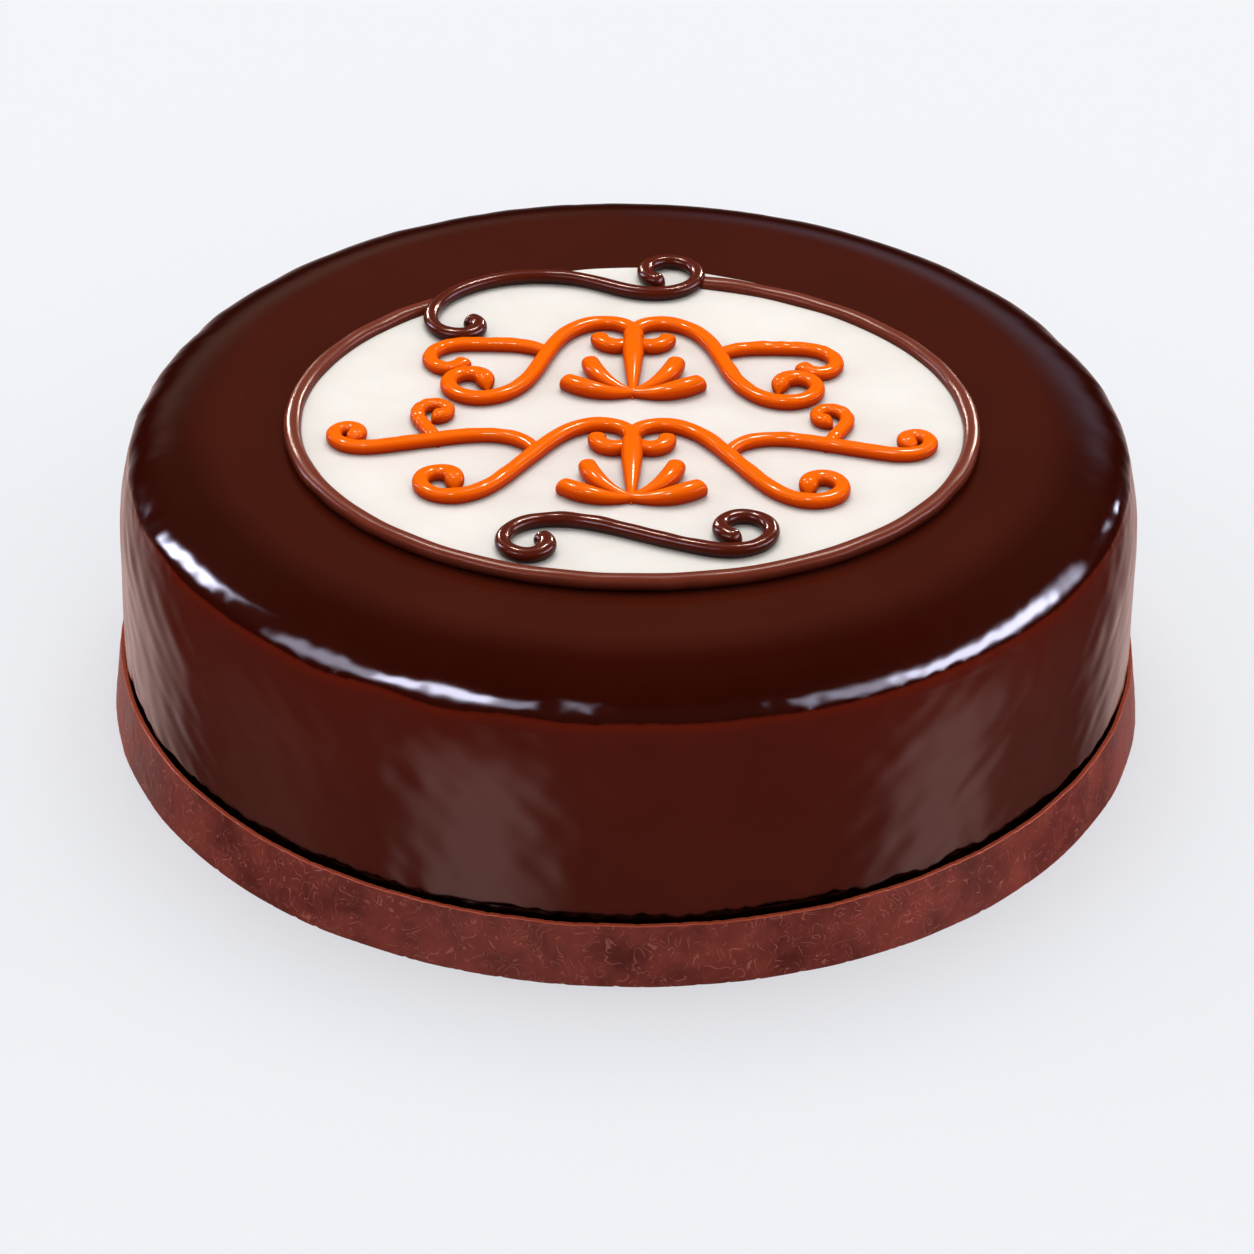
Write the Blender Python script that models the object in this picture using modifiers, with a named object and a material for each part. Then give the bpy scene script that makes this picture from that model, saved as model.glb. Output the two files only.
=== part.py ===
"""A round glazed chocolate torte: a turned cake, a thin chocolate band round its foot, an oval plaque
on top with a piped border, two piped scrolls and two piped ornaments. Metres, +Z up, standing at z = 0,
with the front of the plaque towards -Y."""

import math

import bmesh
import bpy
import numpy as np

# Driving dimensions
CAKE_HEIGHT = 0.0678
FLAT_RADIUS = 0.0858
RIM_WIDTH = 0.0197
RIM_DEPTH = 0.0119
RIM_END_ANGLE = 14.0
RIM_STEPS = 7
SIDE_RADIUS = 0.1073
SIDE_STRAIGHT_TOP = 0.042
SIDE_STEPS = 4
LIP_HEIGHT = 0.0165
FOOT_EDGE = 0.0012
CAKE_SIDES = 64

BAND_RADIUS_LOW = 0.110
BAND_RADIUS_HIGH = 0.1084
BAND_THICKNESS = 0.001
BAND_HEIGHT = 0.0139

PLAQUE_CENTRE = (0.0005, -0.0075)
PLAQUE_HALF_WIDTH = 0.0703
PLAQUE_HALF_FRONT = 0.0617
PLAQUE_HALF_BACK = 0.0685
PLAQUE_BACK_POWER = 1.85
PLAQUE_THICKNESS = 0.0012
PLAQUE_POINTS = 64

BORDER_HALF_WIDTH = 0.0705
BORDER_HALF_DEPTH = 0.062
BORDER_RADIUS = 0.00175
BORDER_START_ANGLE = 76.0
BORDER_END_ANGLE = -232.0
BORDER_POINTS = 64

SCROLL_RADIUS = 0.0016
SCROLL_POINTS = 44
ORNAMENT_RADIUS = 0.00155
ORNAMENT_POINTS = 25
ORNAMENT_AXIS = 0.0005
LEAF_RADIUS = 0.0022
LEAF_ROOT_RADIUS = 0.0011
LEAF_POINTS = 6

CLEARANCE = 0.0003
BEAD_SIDES = 2

# A curl is the angle it turns through, its share of the stroke's length, and how sharply it tightens.
SOFT_CURL = (330, 0.5, 1.3)
NO_CURL = (0, 1, 1)

PLAQUE_BOTTOM = CAKE_HEIGHT + CLEARANCE
PLAQUE_TOP = PLAQUE_BOTTOM + PLAQUE_THICKNESS
PIPING_BOTTOM = PLAQUE_TOP + CLEARANCE


def clear_scene():
    for obj in list(bpy.data.objects):
        bpy.data.objects.remove(obj, do_unlink=True)


def new_collection(name):
    collection = bpy.data.collections.new(name)
    bpy.context.scene.collection.children.link(collection)
    return collection


def make_material(name, colour, roughness):
    material = bpy.data.materials.new(name)
    material.use_nodes = True
    shader = material.node_tree.nodes["Principled BSDF"]
    shader.inputs["Base Color"].default_value = (*colour, 1.0)
    shader.inputs["Roughness"].default_value = roughness
    shader.inputs["Metallic"].default_value = 0.0
    return material


def make_mesh_object(name, mesh, collection, material):
    mesh.materials.append(material)
    mesh.shade_smooth()
    mesh.set_sharp_from_angle(angle=math.radians(40))
    obj = bpy.data.objects.new(name, mesh)
    collection.objects.link(obj)
    return obj


def turned(name, profile, closed, collection, material):
    """A solid turned about the Z axis. The profile is (radius, height) pairs, down the outer side."""
    points = [(radius, 0.0, height) for radius, height in profile]
    edges = [(i, i + 1) for i in range(len(points) - 1)]
    if closed:
        edges.append((len(points) - 1, 0))
    mesh = bpy.data.meshes.new(name)
    mesh.from_pydata(points, edges, [])
    obj = make_mesh_object(name, mesh, collection, material)
    screw = obj.modifiers.new("Turn", "SCREW")
    screw.axis = "Z"
    screw.steps = CAKE_SIDES
    screw.render_steps = CAKE_SIDES
    screw.use_merge_vertices = True
    screw.merge_threshold = 0.00005
    screw.use_smooth_shade = True
    return obj


def rim_profile():
    """Part of an ellipse, from the flat top out to the crease where the side starts."""
    angles = np.radians(np.linspace(90.0, RIM_END_ANGLE, RIM_STEPS + 1))
    radii = FLAT_RADIUS + RIM_WIDTH * np.cos(angles)
    heights = CAKE_HEIGHT - RIM_DEPTH * (1 - np.sin(angles))
    return list(zip(radii.tolist(), heights.tolist()))


def side_profile(crease):
    """The side below the crease: a parabola that ends upright, then straight down to the lip."""
    radius, height = crease
    heights = np.linspace(height, SIDE_STRAIGHT_TOP, SIDE_STEPS + 1)[1:]
    share = (heights - SIDE_STRAIGHT_TOP) / (height - SIDE_STRAIGHT_TOP)
    radii = SIDE_RADIUS - (SIDE_RADIUS - radius) * share**2
    return list(zip(radii.tolist(), heights.tolist())) + [(SIDE_RADIUS, LIP_HEIGHT)]


def band_inner_radius(height):
    """The band leans inwards, so its inner face gets narrower with height."""
    lean = (BAND_RADIUS_LOW - BAND_RADIUS_HIGH) * height / BAND_HEIGHT
    return BAND_RADIUS_LOW - BAND_THICKNESS - lean


def build_cake(collection, material):
    rim = rim_profile()
    step = BAND_HEIGHT + CLEARANCE
    foot = [(band_inner_radius(height) - CLEARANCE, height) for height in (step, FOOT_EDGE)]
    foot.append((foot[-1][0] - FOOT_EDGE, 0.0))
    profile = [(0.0, CAKE_HEIGHT)] + rim + side_profile(rim[-1]) + foot + [(0.0, 0.0)]
    return turned("cake_body", profile, False, collection, material)


def build_band(collection, material):
    top = [(band_inner_radius(BAND_HEIGHT), BAND_HEIGHT), (BAND_RADIUS_HIGH, BAND_HEIGHT)]
    bottom = [(BAND_RADIUS_LOW, 0.0), (band_inner_radius(0.0), 0.0)]
    return turned("base_band", top + bottom, True, collection, material)


def plaque_outline(grow):
    """An oval whose back half is deeper than its front half, moved outwards by grow."""
    angles = np.linspace(0, 2 * math.pi, PLAQUE_POINTS, endpoint=False)
    across = np.abs(np.cos(angles))
    power = PLAQUE_BACK_POWER
    back = (PLAQUE_HALF_BACK + grow) * (1 - across**power) ** (1 / power)
    front = -(PLAQUE_HALF_FRONT + grow) * np.sqrt(1 - across**2)
    x = PLAQUE_CENTRE[0] + (PLAQUE_HALF_WIDTH + grow) * np.cos(angles)
    y = PLAQUE_CENTRE[1] + np.where(np.sin(angles) > 0, back, front)
    return np.column_stack([x, y])


def border_path():
    """The border's centreline: an ellipse, clockwise from the back scroll's loop round to its curl."""
    angles = np.radians(np.linspace(BORDER_START_ANGLE, BORDER_END_ANGLE, BORDER_POINTS))
    x = PLAQUE_CENTRE[0] + BORDER_HALF_WIDTH * np.cos(angles)
    y = PLAQUE_CENTRE[1] + BORDER_HALF_DEPTH * np.sin(angles)
    return np.column_stack([x, y])


def scroll_path(start, end, start_curl, end_curl, sweep, count):
    """A stroke that curls at its ends, given by how fast it turns along its length: the sweep in
    degrees spread evenly, plus each curl's turn crowded towards its own end. The running sum of the
    turning gives the heading, the running sum of the headings gives the stroke, and the stroke is
    then turned and scaled to run from start to end."""
    t = np.linspace(0, 1, count)
    turning = np.full(count, float(sweep))
    for (turn, share, sharpness), way in ((start_curl, 1 - t / start_curl[1]),
                                          (end_curl, 1 - (1 - t) / end_curl[1])):
        turning += turn * (sharpness + 1) / share * np.clip(way, 0, None) ** sharpness
    steps = (turning[1:] + turning[:-1]) / 2 / (count - 1)
    heading = np.radians(np.concatenate([[0.0], np.cumsum(steps)]))
    stroke = np.concatenate([[0.0], np.cumsum(np.exp(0.5j * (heading[1:] + heading[:-1])))])
    first, last = complex(*start), complex(*end)
    placed = first + (last - first) * stroke / stroke[-1]
    return np.column_stack([placed.real, placed.imag])


def leaf_path(root, reach, bend):
    """A bowed line from root to root + reach, bowed sideways by bend times its length."""
    t = np.linspace(0, 1, LEAF_POINTS)[:, None]
    root, reach = np.array(root), np.array(reach)
    sideways = np.array([-reach[1], reach[0]])
    return root + reach * t + sideways * bend * 4 * t * (1 - t)


def mirrored(path):
    return np.column_stack([2 * ORNAMENT_AXIS - path[:, 0], path[:, 1]])


def add_bead(name, path, radii, bottom, collection, material):
    """A round bead that lies on the height bottom, along a path of (x, y) points."""
    curve = bpy.data.curves.new(name, "CURVE")
    curve.dimensions = "3D"
    curve.twist_mode = "Z_UP"
    curve.bevel_depth = 1.0
    curve.bevel_resolution = BEAD_SIDES
    curve.use_fill_caps = True
    curve.materials.append(material)
    spline = curve.splines.new("POLY")
    spline.points.add(len(path) - 1)
    for point, (x, y), radius in zip(spline.points, path, radii):
        point.co = (x, y, bottom + radius, 1.0)
        point.radius = radius
    obj = bpy.data.objects.new(name, curve)
    collection.objects.link(obj)
    return obj


def as_mesh_object(source, collection, material):
    """The curve object made a closed mesh object, in the same place."""
    bpy.context.view_layer.update()
    name, matrix = source.name, source.matrix_world.copy()
    evaluated = source.evaluated_get(bpy.context.evaluated_depsgraph_get())
    mesh = bpy.data.meshes.new_from_object(evaluated)
    bpy.data.objects.remove(source, do_unlink=True)
    work = bmesh.new()
    work.from_mesh(mesh)
    bmesh.ops.remove_doubles(work, verts=work.verts, dist=1e-6)
    bmesh.ops.recalc_face_normals(work, faces=work.faces)
    work.to_mesh(mesh)
    work.free()
    mesh.materials.clear()
    obj = make_mesh_object(name, mesh, collection, material)
    obj.matrix_world = matrix
    return obj


def add_plate(name, outline, bottom, top, collection, material):
    """A flat plate with this outline between two heights."""
    curve = bpy.data.curves.new(name, "CURVE")
    curve.dimensions = "2D"
    curve.fill_mode = "BOTH"
    curve.extrude = (top - bottom) / 2
    curve.materials.append(material)
    spline = curve.splines.new("POLY")
    spline.points.add(len(outline) - 1)
    spline.use_cyclic_u = True
    for point, (x, y) in zip(spline.points, outline):
        point.co = (x, y, 0.0, 1.0)
    obj = bpy.data.objects.new(name, curve)
    obj.location.z = (top + bottom) / 2
    collection.objects.link(obj)
    return obj


def combine(obj, other, operation):
    modifier = obj.modifiers.new(f"{operation} {other.name}", "BOOLEAN")
    modifier.operation = operation
    modifier.solver = "MANIFOLD" if operation == "UNION" else "EXACT"
    modifier.object = other
    other.hide_render = True
    other.display_type = "WIRE"


def end_bulbs(count, radius):
    """Bead radii for a stroke whose ends swell a little."""
    radii = np.full(count, radius)
    radii[:2] *= 1.15
    radii[-2:] *= 1.15
    return radii


def build_scroll(name, path, collection, material):
    radii = end_bulbs(len(path), SCROLL_RADIUS)
    bead = add_bead(name, path, radii, PIPING_BOTTOM, collection, material)
    return as_mesh_object(bead, collection, material)


def back_scroll_path():
    return scroll_path((-0.034, 0.0322), (0.0053, 0.0515), (-219, 0.6, 6.0), (462, 0.43, 0.58),
                       -243, SCROLL_POINTS)


def front_scroll_path():
    return scroll_path((-0.017, -0.056), (0.0209, -0.0543), (-366, 0.6, 2.14), (331, 0.39, 0.63),
                       57, SCROLL_POINTS)


def build_border(collection, cutters, material):
    """The border's bead, cut away where the plaque's edge and the back scroll pass through it."""
    radii = np.full(BORDER_POINTS, BORDER_RADIUS)
    bead = add_bead("plaque_border", border_path(), radii, PLAQUE_BOTTOM, collection, material)
    border = as_mesh_object(bead, collection, material)
    plate = add_plate("plaque_room", plaque_outline(CLEARANCE), CAKE_HEIGHT, PIPING_BOTTOM,
                      cutters, material)
    combine(border, as_mesh_object(plate, cutters, material), "DIFFERENCE")
    path = back_scroll_path()
    room = add_bead("scroll_room", path, np.full(len(path), SCROLL_RADIUS * 1.15 + CLEARANCE),
                    PLAQUE_BOTTOM, cutters, material)
    combine(border, as_mesh_object(room, cutters, material), "DIFFERENCE")
    return border


def fan_leaves(root):
    """A fan of five leaves from one root, the lower pairs mirrored."""
    centre = [leaf_path(root, (0.0, 0.0205), 0.0)]
    sides = [leaf_path(root, (0.009, 0.0105), -0.14), leaf_path(root, (0.0135, 0.0025), -0.14)]
    return centre + sides + [mirrored(path) for path in sides]


def back_ornament_strokes():
    main = scroll_path((0.0077, 0.0255), (0.0315, 0.0075), (-330, 0.5, 1.3), SOFT_CURL, 0,
                       ORNAMENT_POINTS)
    branch = main[int(0.47 * ORNAMENT_POINTS)]
    wing = scroll_path(branch, (0.0365, 0.0140), (-50, 0.4, 1.0), (-250, 0.6, 0.7), 20,
                       ORNAMENT_POINTS)
    return [main, wing], fan_leaves((ORNAMENT_AXIS, 0.004))


def front_ornament_strokes():
    main = scroll_path((0.0077, -0.0165), (0.0365, -0.0335), (-330, 0.46, 1.3), (330, 0.44, 1.3), 0,
                       ORNAMENT_POINTS)
    branch = main[int(0.46 * ORNAMENT_POINTS)]
    wing = scroll_path(branch, (0.0575, -0.0165), (-90, 0.4, 1.0), (330, 0.42, 1.3), 0,
                       ORNAMENT_POINTS)
    twig = scroll_path(wing[int(0.42 * ORNAMENT_POINTS)], (0.0405, -0.0075), NO_CURL,
                       (280, 0.7, 0.6), 0, ORNAMENT_POINTS)
    return [main, wing, twig], fan_leaves((ORNAMENT_AXIS, -0.0385))


def build_ornament(name, strokes, leaves, collection, cutters, material):
    """Strokes and their mirror images, with a fan of leaves, joined into one body."""
    beads = []
    for order, path in enumerate(strokes):
        radii = end_bulbs(len(path), ORNAMENT_RADIUS * (1 - 0.04 * order))
        beads += [(path, radii), (mirrored(path), radii)]
    swell = np.sin(np.linspace(0, 0.62 * math.pi, LEAF_POINTS)) ** 1.5
    for order, path in enumerate(leaves):
        full = LEAF_RADIUS * (1 - 0.05 * ((order + 1) // 2))
        beads.append((path, LEAF_ROOT_RADIUS + (full - LEAF_ROOT_RADIUS) * swell))
    body = None
    for order, (path, radii) in enumerate(beads):
        first = body is None
        place = collection if first else cutters
        label = name if first else f"{name}_stroke_{order}"
        bead = add_bead(label, path, radii, PIPING_BOTTOM, place, material)
        stroke = as_mesh_object(bead, place, material)
        if first:
            body = stroke
        else:
            combine(body, stroke, "UNION")
    return body


def main():
    clear_scene()
    collection = new_collection("glazed_torte")
    cutters = new_collection("cutters")
    glaze = make_material("glaze", (0.045, 0.009, 0.005), 0.12)
    band_chocolate = make_material("band_chocolate", (0.11, 0.022, 0.015), 0.4)
    white_icing = make_material("white_icing", (0.88, 0.84, 0.78), 0.5)
    piped_chocolate = make_material("piped_chocolate", (0.16, 0.045, 0.03), 0.3)
    orange_icing = make_material("orange_icing", (0.85, 0.13, 0.01), 0.3)

    build_cake(collection, glaze)
    build_band(collection, band_chocolate)
    plaque = add_plate("plaque", plaque_outline(0.0), PLAQUE_BOTTOM, PLAQUE_TOP, collection, white_icing)
    as_mesh_object(plaque, collection, white_icing)
    build_border(collection, cutters, piped_chocolate)
    build_scroll("scroll_back", back_scroll_path(), collection, piped_chocolate)
    build_scroll("scroll_front", front_scroll_path(), collection, piped_chocolate)
    build_ornament("icing_back", *back_ornament_strokes(), collection, cutters, orange_icing)
    build_ornament("icing_front", *front_ornament_strokes(), collection, cutters, orange_icing)


main()
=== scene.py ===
# %% [markdown]
# # A glazed chocolate torte with a piped plaque
# The torte is a low round cake under a mirror-smooth chocolate glaze. A thin band of tempered
# chocolate runs round its foot. On top lies an oval plaque of white fondant with a piped chocolate
# border, two chocolate scrolls and an ornament piped in orange icing.
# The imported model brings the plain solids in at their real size, in metres. Each solid is stood in
# for here by a finer surface in the same place, so every size below starts from a solid's own box.
# %% Load the frame
import math

import bpy
import numpy as np
from mathutils import Matrix, Vector


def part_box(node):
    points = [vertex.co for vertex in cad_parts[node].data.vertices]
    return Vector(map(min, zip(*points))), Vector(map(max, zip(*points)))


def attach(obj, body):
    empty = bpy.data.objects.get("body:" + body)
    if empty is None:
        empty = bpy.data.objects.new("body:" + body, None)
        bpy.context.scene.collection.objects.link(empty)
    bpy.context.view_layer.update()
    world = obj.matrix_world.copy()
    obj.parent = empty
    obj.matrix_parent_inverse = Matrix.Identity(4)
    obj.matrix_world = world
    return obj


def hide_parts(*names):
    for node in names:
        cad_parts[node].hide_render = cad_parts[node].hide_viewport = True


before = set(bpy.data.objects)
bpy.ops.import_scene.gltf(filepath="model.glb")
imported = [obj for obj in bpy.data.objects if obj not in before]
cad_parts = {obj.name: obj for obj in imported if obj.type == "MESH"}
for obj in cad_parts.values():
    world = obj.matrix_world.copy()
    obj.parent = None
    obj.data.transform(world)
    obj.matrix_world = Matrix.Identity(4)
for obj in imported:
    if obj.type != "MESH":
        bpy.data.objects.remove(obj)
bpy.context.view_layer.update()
MM = 0.001
print("solids:", ", ".join(sorted(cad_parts)))

# %% [markdown]
# ## The camera
# A cake is best seen from a little above, so that the eye gets the whole top and still reads the
# side. A long lens from just over a metre keeps the circle of the top from looking stretched. The
# camera is placed by its distance and its height in degrees, and is turned to look at a point
# just above the middle of the foot. A hand-held camera is never quite level, so it also rolls by
# about one degree.
# %% Camera
AIM = Vector((0.0, 0.0, 0.0146))
CAMERA_DISTANCE = 1.1
CAMERA_ELEVATION = math.radians(32.6)
CAMERA_ROLL = math.radians(0.82)
LENS_MM = 147.1

back = Vector((0.0, -math.cos(CAMERA_ELEVATION), math.sin(CAMERA_ELEVATION)))
camera = bpy.data.objects.new("camera", bpy.data.cameras.new("camera"))
camera.data.lens = LENS_MM
camera.data.sensor_width = 36.0
turn = (-back).to_track_quat("-Z", "Y").to_matrix() @ Matrix.Rotation(CAMERA_ROLL, 3, "Z")
camera.matrix_world = Matrix.Translation(AIM + back * CAMERA_DISTANCE) @ turn.to_4x4()
scene = bpy.context.scene
scene.collection.objects.link(camera)
scene.camera = camera
print("camera at", [round(value, 3) for value in camera.matrix_world.translation])

# %% [markdown]
# ## Two helpers for colour and nodes
# Paint charts and colour pickers give sRGB values, but a renderer adds up light, so it needs linear
# ones. One function turns a hex colour into linear numbers, and every colour below goes through it.
# A material is a small net of nodes. One function adds a node, sets its settings and fills its
# inputs with values or links, which keeps each material short enough to read.
# %% Colour and node helpers


def colour(hex_code, strength=1.0):
    """Linear RGBA of an sRGB hex code: c / 12.92 up to 0.04045, else ((c + 0.055) / 1.055) ** 2.4."""
    srgb = [int(hex_code[i:i + 2], 16) / 255 for i in (1, 3, 5)]
    linear = [c / 12.92 if c <= 0.04045 else ((c + 0.055) / 1.055) ** 2.4 for c in srgb]
    return (*(strength * c for c in linear), 1.0)


def add(tree, kind, settings=None, inputs=None):
    """Adds a node, applies its settings, and gives its inputs values, sockets or other nodes. A
    node given as an input is linked by its first live output."""
    node = tree.nodes.new("ShaderNode" + kind)
    for name, value in (settings or {}).items():
        if name != "stops":
            setattr(node, name, value)
            continue
        while len(node.color_ramp.elements) < len(value):
            node.color_ramp.elements.new(1.0)
        for element, (place, shade) in zip(node.color_ramp.elements, value):
            element.position = place
            element.color = shade
    for name, value in (inputs or {}).items():
        live = [s for s in node.inputs if s.enabled and s.name == name]
        target = node.inputs[name] if isinstance(name, int) else live[0]
        if isinstance(value, bpy.types.Node):
            value = next(s for s in value.outputs if s.enabled)
        if isinstance(value, bpy.types.NodeSocket):
            tree.links.new(value, target)
        else:
            target.default_value = value
    return node


def new_material(name, sockets):
    """A material whose Principled BSDF has these values on its own sockets."""
    material = bpy.data.materials.new(name)
    material.use_nodes = True
    shader = material.node_tree.nodes["Principled BSDF"]
    for socket, value in sockets.items():
        shader.inputs[socket].default_value = value
    return material, material.node_tree, shader


print("dark chocolate in linear light:", [round(c, 4) for c in colour("#41140B")[:3]])

# %% [markdown]
# ## Floor and studio
# A glossy glaze shows mostly what it reflects, so the studio matters as much as the glaze. Food is
# often shot on a white sweep with black flags round it: the sweep keeps the picture pale, and the
# flags keep the glaze dark. Long softboxes then draw bright strips on its rounded shoulder.
# The same can be done here with the world alone. The Light Path node tells which kind of ray asks:
# the camera sees the pale sweep, matt surfaces get an even fill, and glossy ones see the dark
# studio with its softboxes. A softbox is painted by its bearing (0 is the camera's side, positive
# to the right) and its height above the horizon, both in degrees, with a soft edge all round.
# %% Floor
FLOOR_HALF_SIZE = 4.0

scene.view_settings.view_transform = "Standard"
floor_mesh = bpy.data.meshes.new("floor")
corners = FLOOR_HALF_SIZE * np.array([(-1, -1, 0), (1, -1, 0), (1, 1, 0), (-1, 1, 0)])
floor_mesh.from_pydata(corners.tolist(), [], [(0, 1, 2, 3)])
floor = bpy.data.objects.new("floor", floor_mesh)
scene.collection.objects.link(floor)
floor.visible_glossy = False
light_table = new_material("light_table", {
    "Base Color": colour("#EDEFF3", 0.45), "Roughness": 0.9, "Specular IOR Level": 0.1,
    "Emission Color": colour("#F1F3F8"), "Emission Strength": 0.53})[0]
floor_mesh.materials.append(light_table)
print("floor:", 2 * FLOOR_HALF_SIZE, "m square")

# %% Studio world
SWEEP = colour("#EFF1F5")
FILL = (0.56, 0.57, 0.59, 1.0)
STUDIO_DARK = (0.004, 0.004, 0.005, 1.0)
LILAC = "#E2E4FF"
ROSE = "#FFDCD6"
AMBER = "#FFD9C4"

world = bpy.data.worlds.new("studio")
scene.world = world
world.use_nodes = True
world.cycles.sampling_method = "NONE"
sky = world.node_tree
sky.nodes.clear()
ray = add(sky, "SeparateXYZ", None, {"Vector": add(sky, "TexCoord").outputs["Generated"]})


def sky_math(operation, *values):
    """One step of arithmetic in the world's nodes."""
    return add(sky, "Math", {"operation": operation}, dict(enumerate(values)))


def soft_step(value, low, high):
    """Rises smoothly from 0 at low to 1 at high, or falls where low is above high."""
    inputs = {"Value": value, "From Min": low, "From Max": high}
    return add(sky, "MapRange", {"interpolation_type": "SMOOTHSTEP"}, inputs)


toward_front = sky_math("MULTIPLY", ray.outputs["Y"], -1.0)
bearing = sky_math("DEGREES", sky_math("ARCTAN2", ray.outputs["X"], toward_front))
elevation = sky_math("DEGREES", sky_math("ARCSINE", ray.outputs["Z"]))


def softbox(behind, start, end, half_height, edge, tint):
    """A long softbox painted over what is behind it: tint where the bearing is between start's and
    end's, and the height is within half_height of the line from start to end. Both fade over edge."""
    (bearing_a, height_a), (bearing_b, height_b) = start, end
    slope = (height_b - height_a) / (bearing_b - bearing_a)
    middle = sky_math("MULTIPLY_ADD", bearing, slope, height_a - slope * bearing_a)
    off = sky_math("ABSOLUTE", sky_math("SUBTRACT", elevation, middle))
    rise = soft_step(bearing, bearing_a - edge, bearing_a + edge)
    fall = soft_step(bearing, bearing_b + edge, bearing_b - edge)
    level = soft_step(off, half_height + edge, half_height - edge)
    mask = sky_math("MULTIPLY", sky_math("MULTIPLY", rise, fall), level)
    return add(sky, "Mix", {"data_type": "RGBA"}, {"Factor": mask, "A": behind, "B": tint})


SOFTBOXES = (
    # start and end (bearing, height), half height, edge, colour
    ((-200, 36), (200, 36), 16, 12, colour(AMBER, 0.06)),
    ((-178, 16), (-148, 16), 6, 7, colour(AMBER, 0.22)),
    ((148, 16), (178, 16), 6, 7, colour(LILAC, 0.30)),
    ((-46, -34), (-20, -34), 14, 9, colour(ROSE, 1.0)),
    ((-178, -34), (-126, -34), 16, 16, colour(ROSE, 0.85)),
    ((-100, -34), (-72, -34), 12, 18, colour(ROSE, 0.18)),
    ((64, -34), (88, -34), 16, 10, colour(ROSE, 0.95)),
    ((96, -34), (116, -34), 14, 14, colour(ROSE, 0.14)),
    ((138, -34), (178, -34), 16, 16, colour(ROSE, 0.8)),
    ((-80, 27), (-18, 48), 9, 6, colour(LILAC, 7.0)),
    ((-60, 35), (-38, 43), 7, 4, colour(LILAC, 26.0)),
    ((-123, 11), (-107, 27), 11, 5, colour(LILAC, 10.0)),
    ((-120, 13), (-110, 23), 9, 4, colour(LILAC, 30.0)),
    ((44, 33), (114, 15), 9, 6, colour(LILAC, 7.0)),
    ((62, 26), (106, 18), 7, 4, colour(LILAC, 24.0)),
    ((130, 4), (134, 4), 3, 2, colour(LILAC, 14.0)),
)
reflected = STUDIO_DARK
for start, end, half_height, edge, tint in SOFTBOXES:
    reflected = softbox(reflected, start, end, half_height, edge, tint)

path = add(sky, "LightPath")
first_mirror = sky_math("LESS_THAN", path.outputs["Glossy Depth"], 1.5)
reflected = add(sky, "Mix", {"data_type": "RGBA"},
                {"Factor": first_mirror, "A": STUDIO_DARK, "B": reflected})
seen = add(sky, "Mix", {"data_type": "RGBA"},
           {"Factor": path.outputs["Is Camera Ray"], "A": FILL, "B": SWEEP})
seen = add(sky, "Mix", {"data_type": "RGBA"},
           {"Factor": path.outputs["Is Glossy Ray"], "A": seen, "B": reflected})
background = add(sky, "Background", None, {"Color": seen, "Strength": 1.0})
add(sky, "OutputWorld", None, {"Surface": background})
print("softboxes and glows painted:", len(SOFTBOXES))

# %% Lamps


def area_lamp(name, bearing_degrees, height_degrees, distance, size, watts, tint, glossy):
    """A square area lamp that points at the cake. Rays from the camera never see it."""
    a, e = math.radians(bearing_degrees), math.radians(height_degrees)
    toward = Vector((math.sin(a) * math.cos(e), -math.cos(a) * math.cos(e), math.sin(e)))
    data = bpy.data.lights.new(name, "AREA")
    data.shape = "SQUARE"
    data.size = size
    data.energy = watts
    data.color = colour(tint)[:3]
    lamp = bpy.data.objects.new(name, data)
    lamp.rotation_euler = toward.to_track_quat("Z", "Y").to_euler()
    lamp.location = AIM + toward * distance
    lamp.visible_camera = False
    lamp.visible_glossy = glossy
    lamp.visible_diffuse = not glossy
    scene.collection.objects.link(lamp)
    return lamp


area_lamp("top_light", 180, 72, 1.6, 1.1, 12.0, "#FFFDF8", False)
area_lamp("front_light", 10, 30, 1.8, 1.2, 6.0, "#FFF8F0", False)
area_lamp("left_light", -100, 14, 1.6, 0.8, 5.0, "#FFF4EC", False)
area_lamp("right_light", 95, 14, 1.6, 0.8, 4.0, "#FFF4EC", False)
chocolate_only = bpy.data.collections.new("chocolate_piping")
orange_only = bpy.data.collections.new("orange_piping")
GLINTS = (
    # bearing, height, size in metres, watts, pieces that it lights
    (-156, 60, 0.32, 30.0, chocolate_only), (152, 60, 0.32, 30.0, chocolate_only),
    (-152, 24, 0.32, 24.0, chocolate_only), (152, 24, 0.32, 24.0, chocolate_only),
    (-146, 58, 0.10, 60.0, orange_only), (165, 52, 0.10, 36.0, orange_only),
    (-24, 76, 0.10, 50.0, orange_only),
)
for number, (place, height, size, watts, pieces) in enumerate(GLINTS):
    glint = area_lamp(f"glint_{number}", place, height, 1.5, size, watts, "#FFE9DC", True)
    glint.data.cycles.max_bounces = 0
    glint.data.cycles.use_multiple_importance_sampling = False
    glint.light_linking.receiver_collection = pieces

# %% [markdown]
# ## Surfaces from rings of points
# Every piece here is a stack of closed rings. A turned cake has one ring for each height, a piped
# bead has one for each step along its path. So one function joins an array of rings, rows by
# columns by channels, into a closed surface. The first three channels are the point's place, and
# any others travel with it as attributes for the materials to read. The ends are closed by a fan
# of triangles round a pole, or the last ring joins the first.
# %% Ring surfaces


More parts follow.
